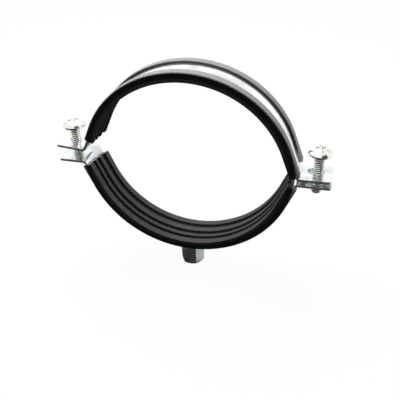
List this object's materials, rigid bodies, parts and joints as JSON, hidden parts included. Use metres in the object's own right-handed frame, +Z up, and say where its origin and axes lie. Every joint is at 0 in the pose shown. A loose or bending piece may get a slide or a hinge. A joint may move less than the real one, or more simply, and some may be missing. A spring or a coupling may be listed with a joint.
{
  "type": "rubber lined pipe clamp",
  "caption": "Round pipe clamp of zinc plated strap halves with ribbed rubber linings, drawn together by screws through side ears and carried on a hex nut for a threaded rod.",
  "frame": {"origin": "mouth of the connection nut's threaded hole, on the thread's axis", "axes": "+X along the ears, +Y along the pipe, +Z up through the ring"},
  "size_m": [0.1618, 0.0236, 0.1308],
  "materials": {
    "zinc_strap": "bright zinc plated sheet",
    "zinc_nut": "zinc plated bar",
    "zinc_screw": "zinc plated, slightly yellow in the threads",
    "lining_rubber": "matt black extruded rubber"
  },
  "bodies": {
    "lower_half": {"lower_strap": "zinc_strap", "lower_lining": "lining_rubber", "connection_nut": "zinc_nut"},
    "upper_half": {"upper_strap": "zinc_strap", "upper_lining": "lining_rubber"},
    "left_screw": {"left_screw": "zinc_screw"},
    "right_screw": {"right_screw": "zinc_screw"}
  },
  "joints": [
    {"name": "upper_half_slide", "type": "slide", "parent": "lower_half", "child": "upper_half", "axis": [0, 0, 1], "range_m": [-0.0019, 0.0078]},
    {"name": "left_screw_turn", "type": "hinge", "parent": "lower_half", "child": "left_screw", "pos_m": [-0.071, 0, 0.0714], "axis": [0, 0, 1], "continuous": true},
    {"name": "right_screw_turn", "type": "hinge", "parent": "lower_half", "child": "right_screw", "pos_m": [0.0736, 0, 0.0714], "axis": [0, 0, 1], "continuous": true}
  ]
}
